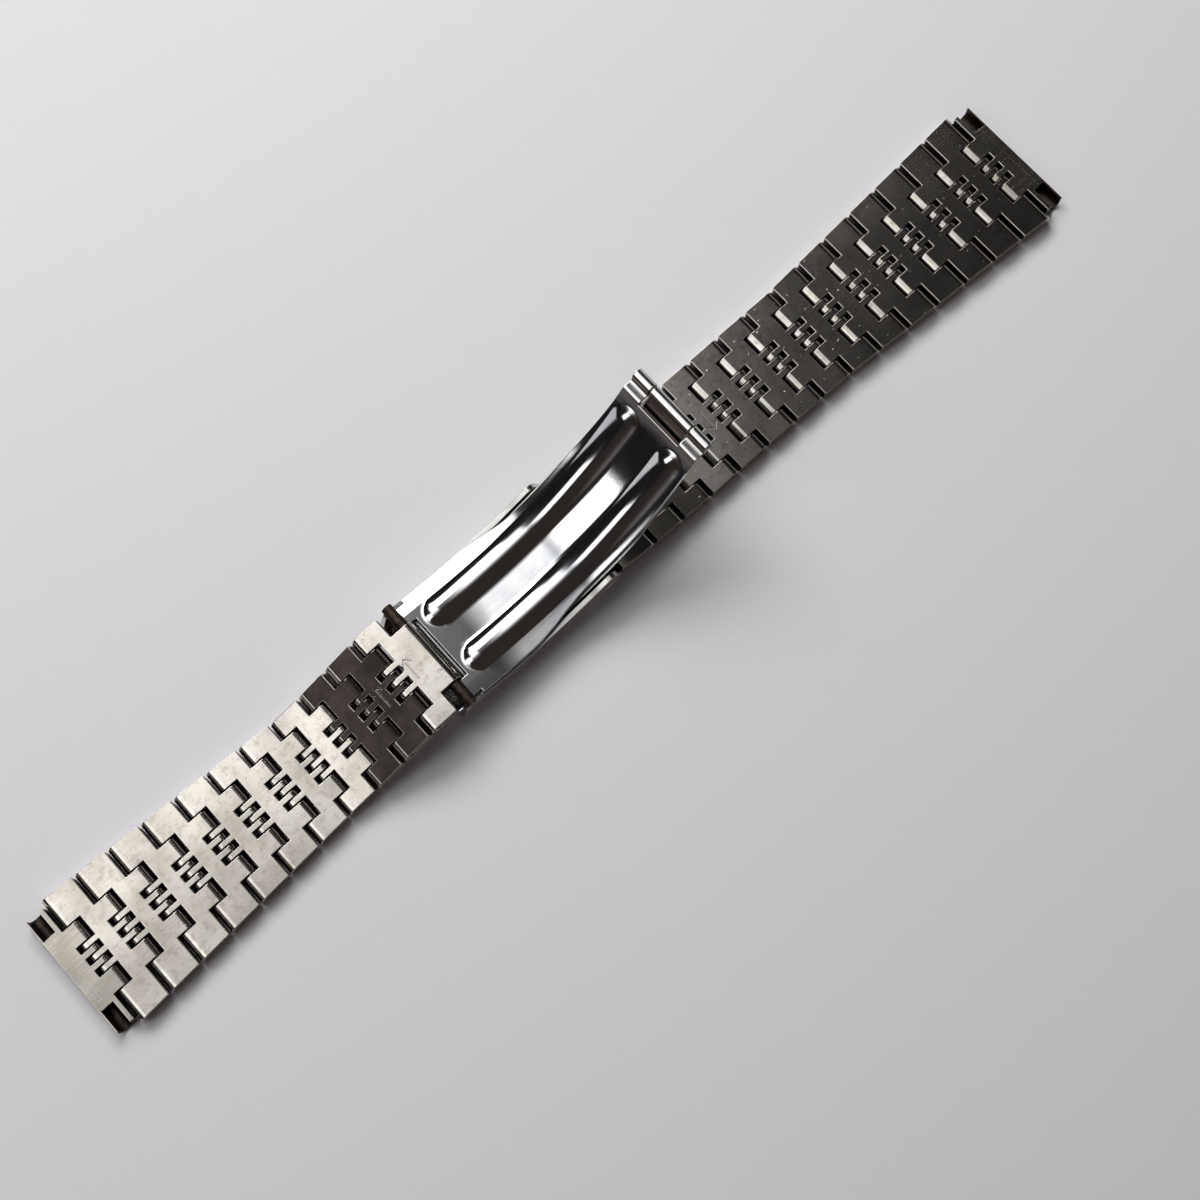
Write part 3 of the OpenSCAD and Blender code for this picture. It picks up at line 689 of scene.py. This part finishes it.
    def sheet(self, work: bmesh.types.BMesh) -> None:
        """Adds the sheet: an upper and a lower side, and walls round its outline.

        Args:
            work: The mesh that gets it.
        """
        columns, rows = self.columns(), self.rows()
        corners: dict[tuple[int, int, int], bmesh.types.BMVert] = {}

        def corner(i: int, j: int, side: int) -> bmesh.types.BMVert:
            """Gives the corner on a side of the sheet, and makes it when it is first asked for."""
            if (i, j, side) not in corners:
                y = self.across(rows[j], columns[i])
                radius = self.top(columns[i], y) + side * self.thickness
                corners[i, j, side] = work.verts.new(self.point(radius, columns[i], y))
            return corners[i, j, side]

        cells = {(i, j) for i in range(len(columns) - 1) for j in range(len(rows) - 1)
                 if self.there((columns[i] + columns[i + 1]) / 2,
                               self.across((rows[j] + rows[j + 1]) / 2, columns[i]))}
        for i, j in cells:
            ring = ((i, j), (i + 1, j), (i + 1, j + 1), (i, j + 1))
            work.faces.new([corner(a, b, 0) for a, b in ring])
            work.faces.new([corner(a, b, 1) for a, b in reversed(ring)])
            beside = ((i, j - 1), (i + 1, j), (i, j + 1), (i - 1, j))
            for k, cell in enumerate(beside):
                if cell not in cells:
                    (a, b), (c, d) = ring[k], ring[(k + 1) % 4]
                    work.faces.new([corner(a, b, 0), corner(a, b, 1), corner(c, d, 1), corner(c, d, 0)])

    def roll(self, work: bmesh.types.BMesh, radius: float, angle: float, outer: float, span: tuple[float, float],
             seam: float) -> None:
        """Adds a roll round a pin, open along the seam where the rolled sheet ends.

        Args:
            work: The mesh that gets it.
            radius: Radius of the pin's centre about the clasp's axis.
            angle: Angle of the pin's centre.
            outer: Outer radius of the roll.
            span: Where it starts and finishes across.
            seam: Direction of the seam as seen along Y, in degrees from the way that angles grow.
        """
        gap, facets = 5.0, 54
        turns = spread(seam + gap, seam + 360 - gap, facets)
        outline = [(outer, t) for t in turns] + [(self.bore, t) for t in reversed(turns)]

        def place(ring: float, turn: float, y: float) -> Point:
            """Gives a place on the roll."""
            a, t = math.radians(angle), math.radians(turn)
            x = ring * (math.cos(t) * math.cos(a) - math.sin(t) * math.sin(a))
            z = ring * (math.cos(t) * math.sin(a) + math.sin(t) * math.cos(a))
            middle = self.point(radius, angle, y)
            return (middle[0] + x * MM, middle[1], middle[2] + z * MM)

        ends = [[work.verts.new(place(ring, turn, y)) for ring, turn in outline] for y in span]
        count = len(outline)
        for k in range(count):
            after = (k + 1) % count
            work.faces.new([ends[0][k], ends[0][after], ends[1][after], ends[1][k]])
        half = count // 2
        for k in range(half - 1):
            far = count - 1 - k
            work.faces.new([ends[0][k + 1], ends[0][k], ends[0][far], ends[0][far - 1]])
            work.faces.new([ends[1][k], ends[1][k + 1], ends[1][far - 1], ends[1][far]])

    def dress(self, store: dict[str, bpy.types.Material]) -> None:
        """Builds the blade, rounds its rims and dresses it.

        Args:
            store: Materials that are made already, by name.
        """
        work = bmesh.new()
        self.sheet(work)
        for side in (-1, 1):
            ear = sorted((side * self.cut_half, side * self.ear_reach))
            self.roll(work, self.ear_radius, self.ear_angle, self.ear_roll, tuple(ear), self.ear_seam)
            tab = sorted((side * self.tab_from, side * self.end_half))
            self.roll(work, self.hinge_radius, self.hinge_angle, self.hinge_roll, tuple(tab), self.hinge_seam)
        bmesh.ops.recalc_face_normals(work, faces=work.faces)
        layer = work.edges.layers.float.new("bevel_weight_edge")
        for edge in work.edges:
            if len(edge.link_faces) == 2 and edge.calc_face_angle() > math.radians(self.sharp_angle):
                edge[layer] = 1.0
        for face in work.faces:
            face.smooth = True
        mesh = bpy.data.meshes.new("outer_blade_steel")
        work.to_mesh(mesh)
        work.free()
        piece = bpy.data.objects.new("outer_blade_steel", mesh)
        bpy.context.scene.collection.objects.link(piece)
        for finish in (self.finish, self.edge_finish, self.hinge_shade_finish, self.ear_shade_finish):
            mesh.materials.append(kept(store, finish))
        round_edges(piece, self.rim, self.rim_segments)
        # Painted shade: the end by the hinge gets the steel shaded where it leans over, and the end by the ears the
        # nearly black steel
        first = self.point(self.top_radius, self.ear_angle + self.ear_shade_reach, 0.0)[0]
        last = self.point(self.top_radius, self.end_angle - self.hinge_shade_reach, 0.0)[0]
        for face in piece.data.polygons:
            if not first < face.center.x < last:
                face.material_index = HINGE_SHADE if face.center.x > last else EAR_SHADE
        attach(piece, "outer_blade")
        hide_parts("outer_blade")
        log.info("%s rides on outer_blade, %d faces", piece.name, len(piece.data.polygons))


def eased(spot: float, start: float, finish: float, before: float, after: float) -> float:
    """Gives a value that eases from one to another.

    Args:
        spot: Where.
        start: Where it starts to change.
        finish: Where it has changed.
        before: The value up to the start.
        after: The value from the finish.

    Returns:
        The value there.
    """
    share = min(1.0, max(0.0, (spot - start) / (finish - start)))
    return before + (after - before) * (1 - math.cos(math.pi * share)) / 2


def spread(start: float, finish: float, steps: int) -> list[float]:
    """Lists evenly spaced numbers from the start to the finish."""
    return [start + (finish - start) * k / steps for k in range(steps + 1)]


def kept(store: dict[str, bpy.types.Material], finish: Steel) -> bpy.types.Material:
    """Gives a finish's material, and makes it when it is first asked for."""
    if finish.name not in store:
        store[finish.name] = finish.material()
    return store[finish.name]


def round_edges(piece: bpy.types.Object, radius: float, segments: int) -> None:
    """Rounds a piece's weighted edges as part of its mesh.

    Args:
        piece: The piece.
        radius: Rounding of an edge of full weight, in millimetres.
        segments: How many facets each rounding has.
    """
    bevel = piece.modifiers.new("rounding", "BEVEL")
    bevel.limit_method = "WEIGHT"
    bevel.width = radius * MM
    bevel.segments = segments
    bevel.use_clamp_overlap = False
    bevel.material = ROUNDING
    apply_modifiers(piece)
    settle_normals(piece.data)


def settle_normals(mesh: bpy.types.Mesh, same_angle: float = 25.0, round_angle: float = 60.0) -> None:
    """Gives flats and arcs their own normals up to their rims, with the roundings blending between them.

    Args:
        mesh: The mesh.
        same_angle: Degrees up to which faces beside each other count as one smooth surface.
        round_angle: The same where only roundings meet.
    """
    near, wide = math.cos(math.radians(same_angle)), math.cos(math.radians(round_angle))
    around: dict[int, list[bpy.types.MeshPolygon]] = {}
    for face in mesh.polygons:
        for spot in face.vertices:
            around.setdefault(spot, []).append(face)

    def blend(guide: bpy.types.MeshPolygon, others: list[bpy.types.MeshPolygon], limit: float) -> Vector:
        """Gives the normal that a face shares with the others that lean about its way."""
        total = Vector()
        for other in others:
            if other.normal.dot(guide.normal) > limit:
                total += other.normal * (other.area / MM ** 2) ** 2
        return total.normalized() if total.length else guide.normal.copy()

    normals = []
    for face in mesh.polygons:
        for spot in face.vertices:
            plain = [other for other in around[spot] if other.material_index != ROUNDING]
            if face.material_index != ROUNDING:
                normals.append(blend(face, plain, near))
            elif plain:
                normals.append(blend(max(plain, key=lambda other: other.normal.dot(face.normal)), plain, near))
            else:
                normals.append(blend(face, around[spot], wide))
    mesh.normals_split_custom_set(normals)


@dataclass(frozen=True)
class Lamp:
    """A soft lamp or window, placed by its direction and distance from the bracelet.

    Its light fades over a share of its size at each side: left and right, bottom and top.
    """
    name: str
    azimuth: float
    elevation: float
    across: float
    upwards: float
    distance: float
    level: float
    fade_across: tuple[float, float] = (0.2, 0.2)
    fade_upwards: tuple[float, float] = (0.2, 0.2)
    faces_down: bool = False

    def hang(self) -> None:
        """Adds the lamp, so bright that a mirror shows its middle at its level, where 1 is white."""
        data = bpy.data.lights.new(self.name, "AREA")
        data.shape = "RECTANGLE"
        data.size, data.size_y = self.across * MM, self.upwards * MM
        data.energy = self.level * math.pi * data.size * data.size_y
        data.use_nodes = True
        tree = data.node_tree
        tree.nodes.clear()
        spot = add(tree, "ShaderNodeNewGeometry").outputs["Parametric"]
        sides = add(tree, "ShaderNodeSeparateXYZ", {0: spot})
        share: bpy.types.NodeSocket | None = None
        for axis, (low, high) in (("X", self.fade_across), ("Y", self.fade_upwards)):
            for start, finish in ((0.0, low), (1.0, 1.0 - high)):
                ramp = add(tree, "ShaderNodeMapRange", {"Value": sides.outputs[axis], "From Min": start,
                                                        "From Max": finish}).outputs[0]
                part = add(tree, "ShaderNodeMath", {0: ramp, 1: FADE_POWER}, operation="POWER").outputs[0]
                share = part if share is None else add(tree, "ShaderNodeMath", {0: share, 1: part},
                                                       operation="MULTIPLY").outputs[0]
        glow = add(tree, "ShaderNodeEmission", {"Strength": share})
        add(tree, "ShaderNodeOutputLight", {"Surface": glow.outputs[0]})
        lamp = bpy.data.objects.new(self.name, data)
        towards = direction(self.azimuth, self.elevation)
        lamp.location = towards * self.distance * MM
        lamp.rotation_mode = "QUATERNION"
        if not self.faces_down:
            lamp.rotation_quaternion = towards.to_track_quat("Z", "Y")
        bpy.context.scene.collection.objects.link(lamp)


@dataclass
class Studio:
    """The table, the windows, the room and the camera."""
    table_half: float = 3000.0
    table_colour: str = "#f1f0f3"
    table_roughness: float = 0.7
    table_gloss: float = 0.2
    lamps: tuple[Lamp, ...] = (
        # A pale ceiling that fades towards +X, which the flat links and the middle of the blade show
        Lamp("ceiling", azimuth=92.4, elevation=58.0, across=830.0, upwards=1324.0, distance=1061.0, level=1.65,
             fade_across=(0.05, 0.34), fade_upwards=(0.24, 0.3), faces_down=True),
        # A tall window past the b end, which the raised half of the blade shows, and a wide one past the +Y side
        Lamp("tall_window", azimuth=160.0, elevation=45.5, across=260.0, upwards=470.0, distance=600.0, level=1.9,
             fade_across=(0.2, 0.2), fade_upwards=(0.14, 0.2)),
        Lamp("side_window", azimuth=72.0, elevation=48.0, across=500.0, upwards=320.0, distance=520.0, level=5.6,
             fade_across=(0.12, 0.12), fade_upwards=(0.25, 0.15)),
    )
    # The room's levels, where 1 is white. Heights and bands are parts of a direction, from -1 to 1.
    dark_level: float = 0.012
    horizon_level: float = 0.45
    wall_colour: str = "#f4f5f8"
    wall_azimuth: float = 320.0
    wall_heights: tuple[float, float] = (0.1, 0.5)
    wall_band: tuple[float, float] = (-0.5, 0.5)
    behind_level: float = 0.05
    behind_colour: str = "#b39486"
    behind_band: tuple[float, float] = (0.1, -0.15)
    eye: Point = (-40.736, -51.038, 242.14)
    target: Point = (-1.494, -7.882, 0.0)
    up: Point = (0.67275, 0.73987, 0.0)
    lens: float = 58.19
    sensor: float = 36.0
    clip: tuple[float, float] = (0.01, 50.0)

    def camera(self) -> None:
        """Makes the camera where the photograph was taken from."""
        data = bpy.data.cameras.new("camera")
        data.lens = self.lens
        data.sensor_width = self.sensor
        data.clip_start, data.clip_end = self.clip
        view = bpy.data.objects.new("camera", data)
        back = (Vector(self.eye) - Vector(self.target)).normalized()
        side = Vector(self.up).cross(back).normalized()
        top = back.cross(side)
        turn = Matrix((side, top, back)).transposed().to_4x4()
        view.matrix_world = Matrix.Translation(Vector(self.eye) * MM) @ turn
        bpy.context.scene.collection.objects.link(view)
        bpy.context.scene.camera = view

    def table(self) -> None:
        """Makes the pale table, so wide that the blade shows no edge of it."""
        half = self.table_half * MM
        work = bmesh.new()
        corners = [work.verts.new((x * half, y * half, 0.0)) for x, y in ((-1, -1), (1, -1), (1, 1), (-1, 1))]
        work.faces.new(corners)
        mesh = bpy.data.meshes.new("table")
        work.to_mesh(mesh)
        work.free()
        # Pressed laminate with a matt face: plain and pale, with no clear reflection
        made = bpy.data.materials.new("matt_white_laminate")
        made.use_nodes = True
        tree = made.node_tree
        tree.nodes.clear()
        shader = add(tree, "ShaderNodeBsdfPrincipled",
                     {"Base Color": linear(self.table_colour), "Roughness": self.table_roughness,
                      "Specular IOR Level": self.table_gloss})
        add(tree, "ShaderNodeOutputMaterial", {"Surface": shader.outputs[0]})
        mesh.materials.append(made)
        top = bpy.data.objects.new("table", mesh)
        bpy.context.scene.collection.objects.link(top)

    def room(self) -> None:
        """Makes the room: dim overhead, with a pale wall near the horizon on one side and brown dusk beside it."""
        world = bpy.data.worlds.new("room")
        bpy.context.scene.world = world
        world.use_nodes = True
        tree = world.node_tree
        tree.nodes.clear()
        way = add(tree, "ShaderNodeTexCoord").outputs["Generated"]
        height = add(tree, "ShaderNodeSeparateXYZ", {0: way}).outputs["Z"]
        low = add(tree, "ShaderNodeMapRange", {"Value": height, "From Min": self.wall_heights[0],
                                               "From Max": self.wall_heights[1], "To Min": 1.0, "To Max": 0.0},
                  interpolation_type="SMOOTHSTEP").outputs[0]
        # The pale wall stands beyond the a end and the -Y side, and the rest of the room is dim
        facing = add(tree, "ShaderNodeVectorMath", {0: way, 1: tuple(direction(self.wall_azimuth, 0.0))},
                     operation="DOT_PRODUCT").outputs["Value"]
        beside = add(tree, "ShaderNodeMapRange", {"Value": facing, "From Min": self.wall_band[0],
                                                  "From Max": self.wall_band[1]},
                     interpolation_type="SMOOTHSTEP").outputs[0]
        share = add(tree, "ShaderNodeMath", {0: low, 1: beside}, operation="MULTIPLY").outputs[0]
        glow = add(tree, "ShaderNodeMapRange", {"Value": share, "To Min": self.dark_level,
                                                "To Max": self.horizon_level}).outputs[0]
        # The -Y side of the room is dim and brown, but a little paler than its dark corner
        across = add(tree, "ShaderNodeSeparateXYZ", {0: way}).outputs["Y"]
        behind = add(tree, "ShaderNodeMapRange", {"Value": across, "From Min": self.behind_band[0],
                                                  "From Max": self.behind_band[1],
                                                  "To Max": self.behind_level}).outputs[0]
        walls = add(tree, "ShaderNodeBackground", {"Color": linear(self.wall_colour), "Strength": glow})
        dusk = add(tree, "ShaderNodeBackground", {"Color": linear(self.behind_colour), "Strength": behind})
        both = add(tree, "ShaderNodeAddShader", {0: walls.outputs[0], 1: dusk.outputs[0]})
        add(tree, "ShaderNodeOutputWorld", {"Surface": both.outputs[0]})

    def build(self) -> None:
        """Builds the whole studio."""
        self.camera()
        self.table()
        for lamp in self.lamps:
            lamp.hang()
        self.room()
        bpy.context.scene.view_settings.view_transform = "Standard"
        log.info("studio built")


def main() -> None:
    """Builds the studio and dresses the bracelet, piece by piece."""
    logging.basicConfig(level=logging.INFO, format="%(message)s", stream=sys.stdout)
    Studio().build()
    store: dict[str, bpy.types.Material] = {}
    nodes = sorted(frame["nodes"])
    links = [n for n in nodes if n.startswith(("link_a", "link_b"))]
    # The two links beside the clasp get painted shade on their flats
    filmed = ["link_b09", "link_b10"]
    loose = [n for n in nodes if n.startswith("link_pin")]
    for group in (
        Pieces([n for n in links if "_a" in n], LINK_STEEL, "link_steel"),
        Pieces([n for n in links if "_b" in n and n not in filmed], LINK_STEEL, "link_steel", edge_radius=0.17),
        Pieces(filmed, TILT_SHADE_LINK_STEEL, "link_steel"),
        EndPieces(["end_piece_a", "end_piece_b"], END_STEEL, "end_steel"),
        Pieces(["cover"], COVER_STEEL, "cover_steel", edge_radius=0.15),
        OuterBlade(SHEET_STEEL, SHEET_STEEL, TILT_SHADE_SHEET_STEEL, DEEP_SHADE_STEEL),
        # The inner blade gets painted shade wherever it leans over
        Pieces(["inner_blade"], TILT_SHADE_SHEET_STEEL, "blade_steel", edge_radius=0.12),
        Pieces(loose + ["cover_hinge_pin", "blade_hinge_pin", "clasp_pin"], PIN_STEEL, "pin_steel",
               edge_radius=0.08),
        Pieces([n for n in nodes if n.startswith("spring_bar")], BAR_STEEL, "spring_bar_steel", edge_radius=0.04),
    ):
        group.dress(store)


if __name__ == "__main__":
    main()
